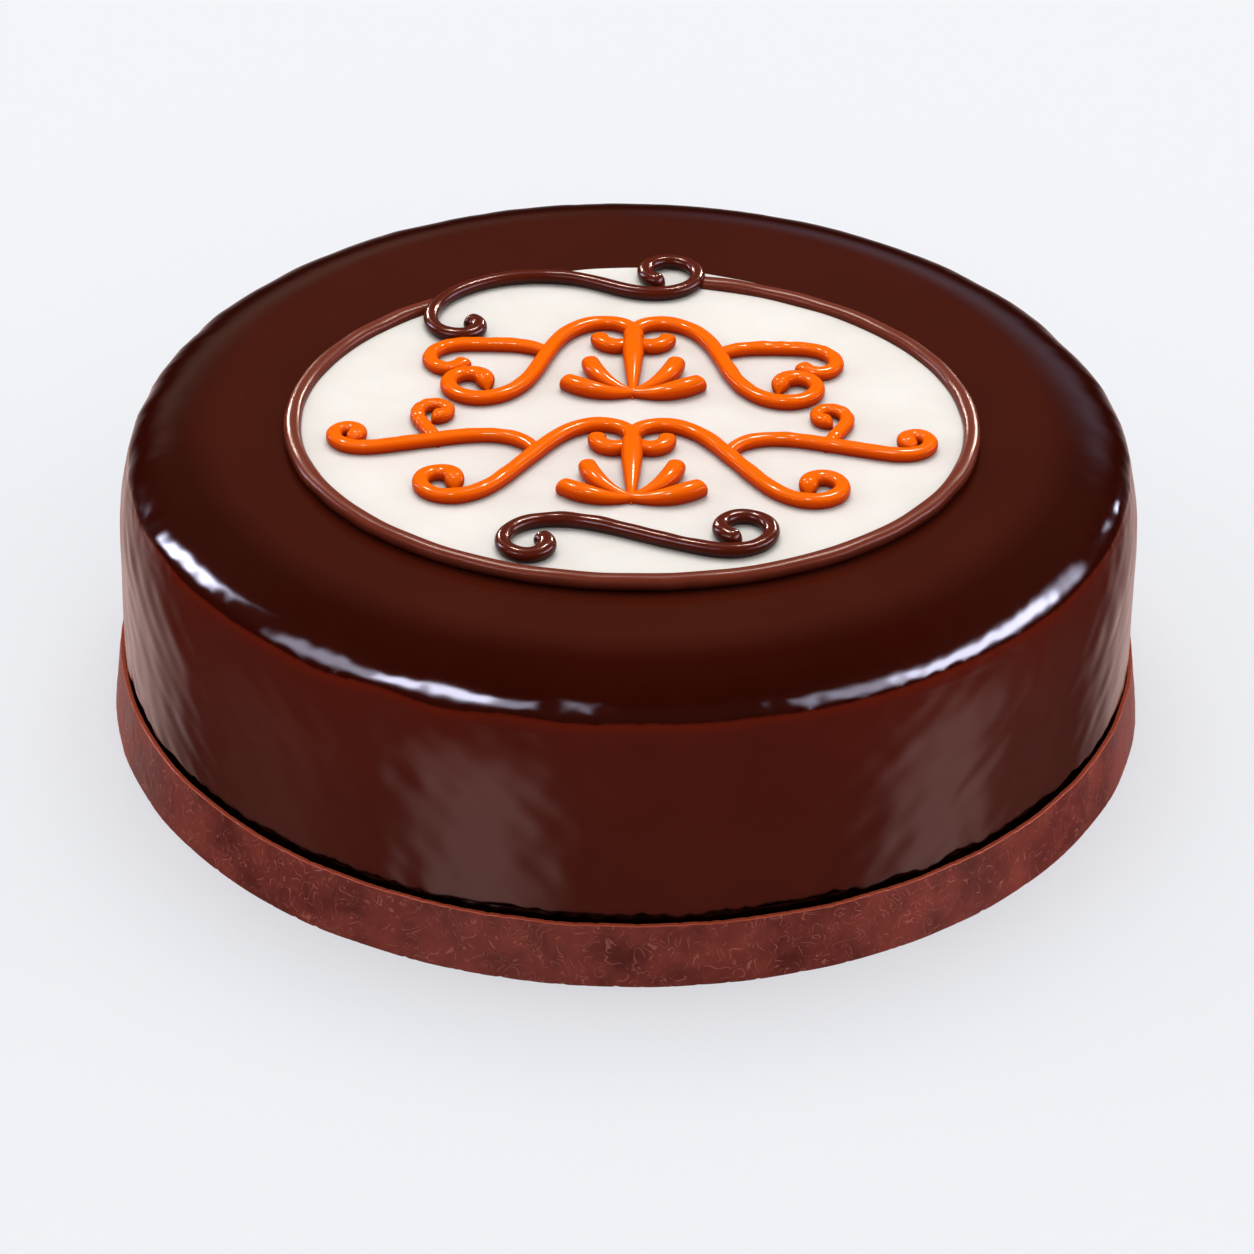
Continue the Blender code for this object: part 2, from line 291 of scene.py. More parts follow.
def shell(rings, joined=False):
    """The points and faces of a closed surface: each ring closes on itself, and neighbouring rings
    are joined by quads. Faces are turned round if the volume, a sixth of the sum of each corner's
    triple product, comes out negative, so that they always point outwards."""
    rows, columns, channels = rings.shape
    index = np.arange(rows * columns).reshape(rows, columns)
    upper = index if joined else index[:-1]
    lower = np.roll(index, -1, axis=0) if joined else index[1:]
    points = rings.reshape(-1, channels)
    quads = [upper, lower, np.roll(lower, -1, axis=1), np.roll(upper, -1, axis=1)]
    quads = np.stack(quads, axis=-1).reshape(-1, 4)
    fans = np.empty((0, 3), int)
    if not joined:
        points = np.vstack([points, rings[[0, -1]].mean(axis=1)])
        first, last = index[0], index[-1]
        head, tail = np.full(columns, rows * columns), np.full(columns, rows * columns + 1)
        fans = np.vstack([np.column_stack([head, first, np.roll(first, -1)]),
                          np.column_stack([tail, np.roll(last, -1), last])])
    corners = points[np.vstack([quads[:, :3], quads[:, [0, 2, 3]], fans])][:, :, :3]
    if np.linalg.det(corners).sum() < 0:
        quads, fans = quads[:, ::-1], fans[:, ::-1]
    return points, quads, fans


def make_piece(name, shells, channels, node, material):
    """One object from one or more shells, with its attributes, put in place of a solid."""
    starts = np.cumsum([0] + [len(points) for points, _, _ in shells])
    points = np.vstack([points for points, _, _ in shells])
    faces = [face for start, (_, quads, fans) in zip(starts, shells)
             for part in (quads, fans) for face in (part + start).tolist()]
    mesh = bpy.data.meshes.new(name)
    mesh.from_pydata(points[:, :3].tolist(), [], faces)
    for number, channel in enumerate(channels):
        values = mesh.attributes.new(channel, "FLOAT", "POINT")
        values.data.foreach_set("value", np.ascontiguousarray(points[:, 3 + number], np.float32))
    mesh.shade_smooth()
    mesh.materials.append(material)
    piece = bpy.data.objects.new(name, mesh)
    scene.collection.objects.link(piece)
    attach(piece, "root")
    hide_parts(node)
    triangles = sum(2 * len(quads) + len(fans) for _, quads, fans in shells)
    print(f"{name}: {len(shells)} shells, {triangles} triangles")
    return piece


# %% [markdown]
# ## Uneven, but smoothly so
# Nothing poured or spread by hand is a perfect circle, and a perfect reflection gives a computer
# model away. A sum of cosines with random directions makes soft waves that can be tuned by their
# width. Each cosine has a whole number of waves round the cake, so the surface meets itself where
# the circle closes. The seed fixes the random draw, so each run gives the same cake.
# %% Ripples


def ripple(angle, along, around, lengthwise, seed, waves=28):
    """Soft random waves with a typical height of 1: the sum of cos(n * angle + k * along + phase),
    with n drawn between the two counts in around, and k up to 2 pi / lengthwise, in metres."""
    draw = np.random.default_rng(seed)
    counts = draw.integers(around[0], around[1] + 1, waves)
    rates = draw.uniform(-1, 1, waves) * 2 * math.pi / lengthwise
    phases = draw.uniform(0, 2 * math.pi, waves)
    total = sum(np.cos(n * angle + k * along + phase)
                for n, k, phase in zip(counts, rates, phases))
    return total * math.sqrt(2 / waves)


def hump(value, centre, width):
    """A smooth bump that is 1 at the centre and fades over the width: exp(-((v - c) / w) ** 2)."""
    return np.exp(-((value - centre) / width) ** 2)


# %% [markdown]
# ## The glazed cake
# The glaze is poured over the cake and runs down the side. It leaves a flat top, a rounded
# shoulder, a soft crease where the poured top meets the spread side, and a ragged lip where it
# stops just above the band. Below the lip lies a gap that goes down behind the band, shaded and also
# painted near black as painted shade.
# A lathe would give that profile but no unevenness, and sculpting would be hard to repeat. So the
# profile is worked out once, carried round the circle, and each point is then pushed along the
# profile's own outward direction by ripples. A number called down goes with each point: 0 at the
# centre, 0.5 where the shoulder starts, 1 at the crease, 2 at the lip, 3 at the foot. The glaze's
# colour follows it.
# %% Cake profile
CAKE_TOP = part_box("cake_body")[1][2]
FOOT_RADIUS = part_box("cake_body")[1][0]
FLAT_RADIUS = 85.8 * MM
SHOULDER_WIDTH = 19.7 * MM
SHOULDER_DEPTH = 11.9 * MM
CREASE_ANGLE = math.radians(14)
SIDE_RADIUS = 107.3 * MM
STRAIGHT_TOP = 42.0 * MM
LIP_HEIGHT = 16.5 * MM
LIP_CURL = 0.9 * MM
GAP_RADIUS = 106.3 * MM
GAP_FLOOR = 12.4 * MM
CAKE_COLUMNS = 720


def cake_profile():
    """Radius, height and down along the profile. The shoulder is part of an ellipse, cut off at the
    crease. The side is a parabola that ends upright, then a straight line, and the lip is a quarter
    circle turned inwards."""
    t = np.linspace(0.03, 1, 16)
    top = [FLAT_RADIUS * t, np.full_like(t, CAKE_TOP), 0.5 * t]
    t = 1 - np.linspace(1, 0, 49)[1:] ** 1.3
    a = math.pi / 2 + (CREASE_ANGLE - math.pi / 2) * t
    shoulder = [FLAT_RADIUS + SHOULDER_WIDTH * np.cos(a),
                CAKE_TOP - SHOULDER_DEPTH * (1 - np.sin(a)), 0.5 + 0.5 * t]
    crease_radius, crease_height = shoulder[0][-1], shoulder[1][-1]
    t = np.linspace(0, 1, 57)[1:] ** 1.6
    z = crease_height + (LIP_HEIGHT - crease_height) * t
    above = np.clip((z - STRAIGHT_TOP) / (crease_height - STRAIGHT_TOP), 0, 1)
    side = [SIDE_RADIUS - (SIDE_RADIUS - crease_radius) * above ** 2, z, 1 + t]
    t = np.linspace(0, 1, 8)[1:]
    lip = [SIDE_RADIUS - LIP_CURL * (1 - np.cos(t * math.pi / 2)),
           LIP_HEIGHT - LIP_CURL * np.sin(t * math.pi / 2), 2 + 0.3 * t]
    t = np.linspace(0, 1, 6)[1:]
    wall = [lip[0][-1] + (GAP_RADIUS - lip[0][-1]) * t,
            lip[1][-1] + (GAP_FLOOR - lip[1][-1]) * t, 2.3 + 0.4 * t]
    inward = 1.4 * MM
    foot = [[GAP_RADIUS + 0.5 * MM, FOOT_RADIUS, FOOT_RADIUS - inward, 0.5 * FOOT_RADIUS],
            [GAP_FLOOR - 0.6 * MM, 1.2 * MM, 0.0, 0.0], [2.9, 3.0, 3.0, 3.0]]
    return np.concatenate([top, shoulder, side, lip, wall, foot], axis=1)


radius, height, down = cake_profile()
print("crease at", round(float(np.interp(1, down, height)) / MM, 1), "mm, lip at", LIP_HEIGHT / MM, "mm")

# %% Cake surface
CREASE_SWAY = 0.26 * MM
CREASE_RAGGED = 0.07 * MM
CREASE_RIDGE = 0.03 * MM
SIDE_SMEAR = 0.017 * MM
SIDE_BLOTCH = 0.040 * MM
SMEAR_LEAN = 0.9
SHOULDER_WAVE = 0.04 * MM
SHOULDER_LUMP = 0.017 * MM
LIP_SWAY = 0.34 * MM
LIP_DRIP = 0.42 * MM


def cake_rings():
    """The profile carried round the circle, then moved along its outward normal and up or down. The
    smears lean by the sine of the angle: the knife's strokes are upright at the front, and slant
    towards it at both sides."""
    angle = np.linspace(0, 2 * math.pi, CAKE_COLUMNS, endpoint=False)[None, :]
    r, z, d = (values[:, None] for values in (radius, height, down))
    slope_r, slope_z = np.gradient(radius)[:, None], np.gradient(height)[:, None]
    length = np.hypot(slope_r, slope_z)
    out_r, out_z = -slope_z / length, slope_r / length
    depth = CAKE_TOP - z

    leaning = angle + SMEAR_LEAN * np.sin(angle) * depth / SIDE_RADIUS
    smear = ripple(leaning, depth, (14, 60), 0.05, 11)
    smear = smear + 0.12 * ripple(leaning, depth, (60, 120), 0.03, 12)
    blotch = ripple(leaning, depth, (6, 70), 0.0065, 10, 60)
    wave = ripple(angle, depth, (10, 56), 0.03, 13)
    lump = ripple(angle, depth, (30, 150), 0.004, 19, 60)
    sway = ripple(angle, 0, (3, 30), 1, 14)
    ragged = ripple(angle, 0, (60, 260), 1, 15)
    lip_sway = ripple(angle, 0, (8, 60), 1, 16)
    drip = np.abs(ripple(angle, 0, (30, 110), 1, 17))

    on_side = np.clip((d - 1.0) / 0.12, 0, 1) * np.clip((2.3 - d) / 0.2, 0, 1)
    on_shoulder = np.clip((d - 0.62) / 0.28, 0, 1) * np.clip((1.15 - d) / 0.12, 0, 1)
    push = (SIDE_SMEAR * smear + SIDE_BLOTCH * blotch) * on_side
    push = push + (SHOULDER_WAVE * wave + SHOULDER_LUMP * lump) * on_shoulder
    push = push + 0.09 * MM * ripple(angle, depth, (40, 160), 0.006, 18) * hump(d, 2.5, 0.13)
    push = push + CREASE_RIDGE * hump(d, 1.045 + 0.012 * sway, 0.014)
    rise = CREASE_SWAY * sway * hump(d, 1, 0.16) + CREASE_RAGGED * ragged * hump(d, 1, 0.02)
    rise = rise + (LIP_SWAY * lip_sway - LIP_DRIP * drip) * hump(d, 2.1, 0.22)

    r = r + push * out_r
    z = z + push * out_z + rise
    return np.stack(np.broadcast_arrays(r * np.sin(angle), -r * np.cos(angle), z, d), axis=-1)


cake_shell = shell(cake_rings())

# %% [markdown]
# ## Mirror glaze
# Chocolate glaze is a cooked syrup of sugar and cocoa, poured warm. It sets to a dark, nearly
# opaque skin, a smooth dielectric with an index near 1.5, so it keeps its highlights white. The
# colour is a ramp over the number called down, whose edges are roughened with noise. The ramp paints
# light and shade: the shoulder is painted darkest, as painted shade for the dark studio it reflects,
# a thin bright line at the crease is a painted highlight, and the lip and the gap below it are
# painted near black as painted shade. The side was spread with a palette knife, which leaves it a
# little duller, and lets more red through. A faint bump gives the skin its ripple.
# %% Glaze material


def glaze_material():
    material, tree, shader = new_material("mirror_glaze", {"IOR": 1.5})
    where = add(tree, "TexCoord").outputs["Object"]
    down_here = add(tree, "Attribute", {"attribute_name": "down"}).outputs["Fac"]
    fray = add(tree, "TexNoise", None, {"Vector": where, "Scale": 1 / (4 * MM), "Detail": 3.0})
    fray = add(tree, "Math", {"operation": "MULTIPLY_ADD"}, {0: fray, 1: 0.010, 2: -0.005})
    place = add(tree, "Math", {"operation": "ADD"}, {0: down_here, 1: fray})
    place = add(tree, "Math", {"operation": "DIVIDE"}, {0: place, 1: 3.0})
    # Painted light and shade in the ramp: the shoulder band from 0.66 to 0.985 is painted shade, the bright
    # stop at the crease, 1.0, is a painted highlight, and from the lip, 2.03, down into the gap is painted near
    # black as painted shade.
    stops = [(down / 3, colour(shade)) for down, shade in (
        (0.0, "#46170C"), (0.50, "#46160B"), (0.66, "#330B04"), (0.985, "#2E0702"), (1.0, "#5E1809"),
        (1.05, "#4F150A"), (1.5, "#4B160C"), (1.985, "#47170D"), (2.03, "#180402"), (2.3, "#080100"))]
    tone = add(tree, "ValToRGB", {"stops": stops}, {"Fac": place})
    cloud = add(tree, "TexNoise", None, {"Vector": where, "Scale": 1 / (28 * MM), "Detail": 2.0})
    cloud = add(tree, "MapRange", None, {"Value": cloud, "From Min": 0.3, "From Max": 0.7,
                                         "To Min": 0.93, "To Max": 1.07})
    tone = add(tree, "VectorMath", {"operation": "SCALE"}, {0: tone, "Scale": cloud})
    tree.links.new(tone.outputs["Vector"], shader.inputs["Base Color"])
    gloss = add(tree, "MapRange", None, {"Value": down_here, "From Min": 1.0, "From Max": 1.04,
                                         "To Min": 0.10, "To Max": 0.18})
    tree.links.new(gloss.outputs["Result"], shader.inputs["Roughness"])
    skin = add(tree, "TexNoise", None, {"Vector": where, "Scale": 1 / (6 * MM), "Detail": 3.0})
    bump = add(tree, "Bump", None, {"Strength": 0.12, "Distance": 0.2 * MM, "Height": skin})
    tree.links.new(bump.outputs["Normal"], shader.inputs["Normal"])
    return material


cake = make_piece("glazed_cake", [cake_shell], ["down"], "cake_body", glaze_material())

# %% [markdown]
# ## The chocolate band
# The band is a strip of chocolate, tempered on embossed foil and wrapped round the cake while it
# still bends. It leans in a little and is about a millimetre thick, its foil left a leafy tangle of fine
# scratches, and its cut edges are a little rough. Its section is carried round the circle as a
# closed loop. The relief is added to the outer face as many short curved strokes: each one is a
# ridge, exp(-(distance / width) ** 2), along a bent line at a random place and angle.
# %% Band surface
BAND_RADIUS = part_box("base_band")[1][0]
BAND_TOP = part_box("base_band")[1][2]
BAND_THICKNESS = 1.0 * MM
BAND_LEAN = 1.6 * MM
BAND_COLUMNS = 1800
BAND_FACE_ROWS = 38
EDGE_ROUND = 0.2 * MM
RELIEF = 0.075 * MM
STROKES = 1000


def band_section():
    """Offset outwards from the band's middle, height, and face (1 on the outer face, 2 on the top
    edge, 0 elsewhere), round a rounded strip seen end on."""
    half = BAND_THICKNESS / 2
    t = np.linspace(0, 1, BAND_FACE_ROWS)
    outer = [np.full_like(t, half), EDGE_ROUND + (BAND_TOP - 2 * EDGE_ROUND) * t, np.ones_like(t)]
    a = np.linspace(0, math.pi / 2, 6)[1:]
    over = [half - EDGE_ROUND * (1 - np.cos(a)), BAND_TOP - EDGE_ROUND * (1 - np.sin(a)), np.full_like(a, 2)]
    a = a + math.pi / 2 - a[0]
    across = [-half + EDGE_ROUND * (1 + np.cos(a)), BAND_TOP - EDGE_ROUND * (1 - np.sin(a)), np.full_like(a, 2)]
    rest = [[-half, -half, -half, -half + EDGE_ROUND, half - EDGE_ROUND, half - 0.3 * EDGE_ROUND],
            [BAND_TOP * 0.9, BAND_TOP * 0.5, EDGE_ROUND, 0, 0, 0.3 * EDGE_ROUND], np.zeros(6)]
    return np.concatenate([outer, over, across, rest], axis=1)


def leafy_relief(arc, z):
    """A tangle of bent ridges. In each stroke's own axes u and v, the ridge follows v = bend * u * u
    and fades towards both ends: exp(-((v - bend * u * u) / width) ** 2 - (u / reach) ** 4)."""
    draw = np.random.default_rng(21)
    turn = 2 * math.pi * BAND_RADIUS
    total = np.zeros(np.broadcast_shapes(arc.shape, z.shape))
    for _ in range(STROKES):
        middle, level = draw.uniform(0, turn), draw.uniform(0, BAND_TOP)
        lean, bend = draw.uniform(0, math.pi), draw.uniform(-260, 260)
        reach, width = draw.uniform(0.9, 3.2) * MM, draw.uniform(0.22, 0.5) * MM
        weight = draw.choice([-1.0, 1.0]) * draw.uniform(0.3, 1.0)
        first = np.searchsorted(arc[0], middle - 4 * MM)
        last = np.searchsorted(arc[0], middle + 4 * MM)
        x, y = arc[:, first:last] - middle, z - level
        u, v = x * math.cos(lean) + y * math.sin(lean), y * math.cos(lean) - x * math.sin(lean)
        total[:, first:last] += weight * np.exp(-((v - bend * u * u) / width) ** 2 - (u / reach) ** 4)
    return total


def band_rings():
    """The section carried round the circle, with relief, a slow wobble and rough cut edges."""
    offset, z, face = (values[:, None] for values in band_section())
    angle = np.linspace(0, 2 * math.pi, BAND_COLUMNS, endpoint=False)[None, :]
    arc = angle * BAND_RADIUS
    share = z / BAND_TOP
    relief = np.clip(RELIEF * leafy_relief(arc, z), -0.13 * MM, 0.13 * MM) * (face == 1)
    wobble = 0.06 * MM * ripple(angle, z, (4, 40), 0.05, 22)
    r = BAND_RADIUS - BAND_LEAN * share + offset + relief + wobble
    r = r - (r.max() - BAND_RADIUS)
    chips = 0.07 * MM * np.clip(ripple(angle, 0, (120, 420), 1, 23), 0, 2.5)
    sag = 0.08 * MM * (1 + np.clip(ripple(angle, 0, (6, 60), 1, 24), -1, 1))
    foot = 0.05 * MM * np.clip(ripple(angle, 0, (60, 360), 1, 25), 0, 2.2) ** 2
    z = z - (chips + sag) * share ** 4 + foot * (1 - share) ** 6
    return np.stack(np.broadcast_arrays(r * np.sin(angle), -r * np.cos(angle), z, face), axis=-1)


band_shell = shell(band_rings(), joined=True)

# %% [markdown]
# ## Tempered chocolate
# Tempered chocolate is cocoa butter, cocoa and sugar in small even crystals. It sets with a satin
# face, less glossy than the glaze and a shade lighter, because no syrup darkens it. The thin top
# edge is painted a light reddish orange as a painted highlight, and tiny pale specks are crumbs of
# cocoa butter.
# %% Band material


def band_material():
    material, tree, shader = new_material("tempered_chocolate", {"IOR": 1.45})
    where = add(tree, "TexCoord").outputs["Object"]
    face = add(tree, "Attribute", {"attribute_name": "face"}).outputs["Fac"]
    cloud = add(tree, "TexNoise", None, {"Vector": where, "Scale": 1 / (11 * MM), "Detail": 5.0,
                                         "Roughness": 0.6})
    tone = add(tree, "ValToRGB", {"stops": [(0.35, colour("#561810")), (0.65, colour("#7E2D1E"))]},
               {"Fac": cloud})
    speck = add(tree, "TexVoronoi", None, {"Vector": where, "Scale": 1 / (2.6 * MM)})
    speck = add(tree, "MapRange", None, {"Value": speck, "From Min": 0.07, "From Max": 0.03})
    tone = add(tree, "Mix", {"data_type": "RGBA"}, {"Factor": speck, "A": tone, "B": colour("#A36A55")})
    swirl = add(tree, "TexNoise", None, {"Vector": where, "Scale": 1 / (5 * MM), "Detail": 1.0,
                                         "Distortion": 0.8})
    swirl = add(tree, "Math", {"operation": "MULTIPLY"}, {0: swirl, 1: 26.0})
    swirl = add(tree, "Math", {"operation": "SINE"}, {0: swirl})
    swirl = add(tree, "Math", {"operation": "ABSOLUTE"}, {0: swirl})
    line = add(tree, "MapRange", {"interpolation_type": "SMOOTHSTEP"},
               {"Value": swirl, "From Min": 0.3, "From Max": 0.05})
    patch = add(tree, "TexNoise", None, {"Vector": where, "Scale": 1 / (2.2 * MM), "Detail": 2.0})
    patch = add(tree, "MapRange", None, {"Value": patch, "From Min": 0.44, "From Max": 0.56})
    line = add(tree, "Math", {"operation": "MULTIPLY"}, {0: line, 1: patch})
    faint = add(tree, "Math", {"operation": "MULTIPLY"}, {0: line, 1: 0.55})
    tone = add(tree, "Mix", {"data_type": "RGBA"}, {"Factor": faint, "A": tone, "B": colour("#A8614D")})
    # The top edge, face 2, is painted light reddish orange: a painted highlight where the edge faces the light.
    edge = add(tree, "MapRange", None, {"Value": face, "From Min": 1.3, "From Max": 1.9})
    tone = add(tree, "Mix", {"data_type": "RGBA"}, {"Factor": edge, "A": tone, "B": colour("#AE4A2E")})
    tree.links.new(tone.outputs[2], shader.inputs["Base Color"])
    gloss = add(tree, "MapRange", None, {"Value": cloud, "From Min": 0.3, "From Max": 0.7,
                                         "To Min": 0.36, "To Max": 0.52})
    tree.links.new(gloss.outputs["Result"], shader.inputs["Roughness"])
    bump = add(tree, "Bump", None, {"Strength": 0.5, "Distance": 0.10 * MM, "Height": line})
    tree.links.new(bump.outputs["Normal"], shader.inputs["Normal"])
    return material


band = make_piece("chocolate_band", [band_shell], ["face"], "base_band",
                  band_material())

# %% [markdown]
# ## The plaque
# The plaque is rolled white fondant, just over a millimetre thick, cut to an oval and laid on the
# glaze. Its back half is a little deeper than its front, so a sliver of white shows outside the
# border there. The outline is worked out as a function of the angle. Rings of it shrink towards
# the centre for the top face, and a quarter circle rounds the cut edge.
# %% Plaque surface
PLAQUE_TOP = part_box("plaque")[1][2]
PLAQUE_MIDDLE_X = 0.5 * MM
PLAQUE_MIDDLE_Y = -7.5 * MM
PLAQUE_HALF_WIDTH = 70.3 * MM
PLAQUE_HALF_FRONT = 61.7 * MM
PLAQUE_HALF_BACK = 68.5 * MM
PLAQUE_BACK_POWER = 1.85
PLAQUE_EDGE = 0.7 * MM
PLAQUE_COLUMNS = 420


def plaque_rings():
    """Rings of the outline, moved inwards by an inset. The front half is half an ellipse, and the
    back half follows |x| ** p + |y| ** p = 1 with a power p just under 2."""
    angle = np.linspace(0, 2 * math.pi, PLAQUE_COLUMNS, endpoint=False)[None, :]
    across = np.abs(np.cos(angle))
    back_half = (1 - across ** PLAQUE_BACK_POWER) ** (1 / PLAQUE_BACK_POWER)
    t = np.linspace(0.04, 1, 26)[:, None]
    a = np.linspace(0, math.pi / 2, 9)[1:, None]
    scale = np.concatenate([t, np.ones_like(a), [[1.0]], [[0.97]]])
    inset = np.concatenate([PLAQUE_EDGE * np.ones_like(t), PLAQUE_EDGE * (1 - np.sin(a)), [[0.0]], [[0.0]]])
    base = CAKE_TOP - 0.1 * MM
    z = np.concatenate([np.full_like(t, PLAQUE_TOP), PLAQUE_TOP - PLAQUE_EDGE * (1 - np.cos(a)),
                        [[base]], [[base]]])
    x = PLAQUE_MIDDLE_X + scale * (PLAQUE_HALF_WIDTH - inset) * np.cos(angle)
    depth = np.where(np.sin(angle) > 0, (PLAQUE_HALF_BACK - inset) * back_half,
                     -(PLAQUE_HALF_FRONT - inset) * np.sqrt(1 - across ** 2))
    y = PLAQUE_MIDDLE_Y + scale * depth
    dips = 0.02 * MM * (ripple(x / (100 * MM), y, (20, 60), 0.02, 31) - 2.0)
    z = z + np.where(z > base, dips, 0)
    return np.stack(np.broadcast_arrays(x, y, z), axis=-1)


plaque_shell = shell(plaque_rings())

# %% [markdown]
# ## Fondant
# Fondant is sugar, glucose and gelatine, kneaded and rolled. It is an off-white, almost matt, with
# a faint grain of sugar and a little light passing through, which softens the shadows on it.
# %% Fondant material


def fondant_material():
    material, tree, shader = new_material("rolled_fondant", {
        "Roughness": 0.55, "IOR": 1.45, "Specular IOR Level": 0.3, "Subsurface Weight": 0.15,
        "Subsurface Scale": 1.2 * MM, "Subsurface Radius": (1.0, 0.8, 0.6)})
    where = add(tree, "TexCoord").outputs["Object"]
    cloud = add(tree, "TexNoise", None, {"Vector": where, "Scale": 1 / (14 * MM), "Detail": 4.0})
    tone = add(tree, "ValToRGB", {"stops": [(0.3, colour("#EFEAE3")), (0.7, colour("#F5F1EB"))]},
               {"Fac": cloud})
    tree.links.new(tone.outputs["Color"], shader.inputs["Base Color"])
    grain = add(tree, "TexNoise", None, {"Vector": where, "Scale": 1 / (0.5 * MM), "Detail": 3.0})
    bump = add(tree, "Bump", None, {"Strength": 0.15, "Distance": 0.05 * MM, "Height": grain})
    tree.links.new(bump.outputs["Normal"], shader.inputs["Normal"])
    return material


plaque = make_piece("fondant_plaque", [plaque_shell], [], "plaque", fondant_material())

# %% [markdown]
# ## Piping
# Piped chocolate and icing leave the nozzle as a soft round rope. It settles on the surface, so
# its section is a little flatter than a circle, and where the nozzle lifts off it leaves a rounded
# end. A curve with a bevel would give a plain tube, so the bead is computed: a superellipse,
# |x / w| ** p + |z / h| ** p = 1, carried along a path that lies flat. Its width can change along
# the path, and each end is closed by rings that shrink like the outline of a circle.
# %% Bead
SIDES = 28
CAP_RINGS = 7


def bead(path, width, tall, bottom, squareness):
    """A piped bead along an array of (x, y) points. width and tall are its full width and its height
    at each point, squareness is the superellipse's power, and bottom the height that it lies on.
    Channels after the place: distance along the path, and height within the bead from 0 to 1."""
    step = np.gradient(path, axis=0)
    tangent = step / np.linalg.norm(step, axis=1, keepdims=True)
    a = math.pi / 2 - np.linspace(0.08, 1, CAP_RINGS)[:-1, None] * math.pi / 2
    head = path[0] - tangent[0] * width[0] / 2 * np.sin(a)
    tail = path[-1] + tangent[-1] * width[-1] / 2 * np.sin(a[::-1])
    centres = np.vstack([head, path, tail])
    shrink = np.vstack([np.cos(a), np.ones((len(path), 1)), np.cos(a[::-1])])
    ends = (len(a), len(a))
    full_width = np.pad(width, ends, "edge")[:, None] * shrink
    full_height = np.pad(tall, ends, "edge")[:, None] * shrink ** 0.8
    tangent = np.pad(tangent, (ends, (0, 0)), "edge")
    reach = np.concatenate([[0], np.cumsum(np.linalg.norm(np.diff(centres, axis=0), axis=1))])[:, None]
    around = np.linspace(0, 2 * math.pi, SIDES, endpoint=False)[None, :]
    side = np.sign(np.cos(around)) * np.abs(np.cos(around)) ** (2 / squareness)
    rise = 0.5 + 0.5 * np.sign(np.sin(around)) * np.abs(np.sin(around)) ** (2 / squareness)
    x = centres[:, :1] - tangent[:, 1:] * side * full_width / 2
    y = centres[:, 1:] + tangent[:, :1] * side * full_width / 2
    z = bottom + rise * full_height
    return shell(np.stack(np.broadcast_arrays(x, y, z, reach, rise), axis=-1))


def hand(count, seed, waves=(2, 14)):
    """How a hand's pressure varies along a stroke: 1 plus or minus a few hundredths."""
    t = np.linspace(0, 2 * math.pi, count)
    return 1 + 0.018 * ripple(t, 0, waves, 1, seed)


# %% [markdown]
# ## Border and scrolls
# The border is one stroke of chocolate over the plaque's edge: an ellipse that starts beside the
# back scroll's loop and runs clockwise round to its curl. A scroll is harder to write down as
# points, but easy as a way of turning: it sweeps gently, and tightens into a curl at each end. So
# the turning along the stroke is written as a formula, its running sum gives the heading, the
# running sum of the headings gives the stroke, and the stroke is fitted between its two ends.
# %% Border and scroll paths
BORDER_HALF_WIDTH = 70.5 * MM
BORDER_HALF_DEPTH = 62.0 * MM
BORDER_START = math.radians(77.6)
BORDER_END = math.radians(-232)
BORDER_POINTS = 520
SCROLL_POINTS = 260


def border_path():
    """An ellipse round the plaque's middle, from the start angle clockwise to the end angle."""
    angle = np.linspace(BORDER_START, BORDER_END, BORDER_POINTS)
    x = PLAQUE_MIDDLE_X + BORDER_HALF_WIDTH * np.cos(angle)
    return np.column_stack([x, PLAQUE_MIDDLE_Y + BORDER_HALF_DEPTH * np.sin(angle)])


def scroll_path(start, end, start_curl, end_curl, sweep, count=SCROLL_POINTS):
    """A stroke that curls at its ends. Each curl is the angle it turns through, its share of the
    stroke, and how sharply it tightens; sweep is the turn that is spread evenly. In degrees."""
    t = np.linspace(0, 1, count)
    turning = np.full(count, float(sweep))
    for (turn, share, sharpness), way in ((start_curl, 1 - t / start_curl[1]),
                                          (end_curl, 1 - (1 - t) / end_curl[1])):
        turning += turn * (sharpness + 1) / share * np.clip(way, 0, None) ** sharpness
    steps = (turning[1:] + turning[:-1]) / 2 / (count - 1)
    heading = np.radians(np.concatenate([[0.0], np.cumsum(steps)]))
    stroke = np.concatenate([[0.0], np.cumsum(np.exp(0.5j * (heading[1:] + heading[:-1])))])
    first, last = complex(*start), complex(*end)
    placed = first + (last - first) * stroke / stroke[-1]
    return np.column_stack([placed.real, placed.imag])


back_scroll = scroll_path((-0.034, 0.0322), (0.0053, 0.0515), (-219, 0.6, 6.0), (462, 0.43, 0.58), -243)
front_scroll = scroll_path((-0.017, -0.056), (0.0209, -0.0543), (-366, 0.6, 2.14), (331, 0.39, 0.63), 57)
for name, stroke in (("back", back_scroll), ("front", front_scroll)):
    print(name, "scroll is", round(float(np.linalg.norm(np.diff(stroke, axis=0), axis=1).sum()) / MM), "mm")
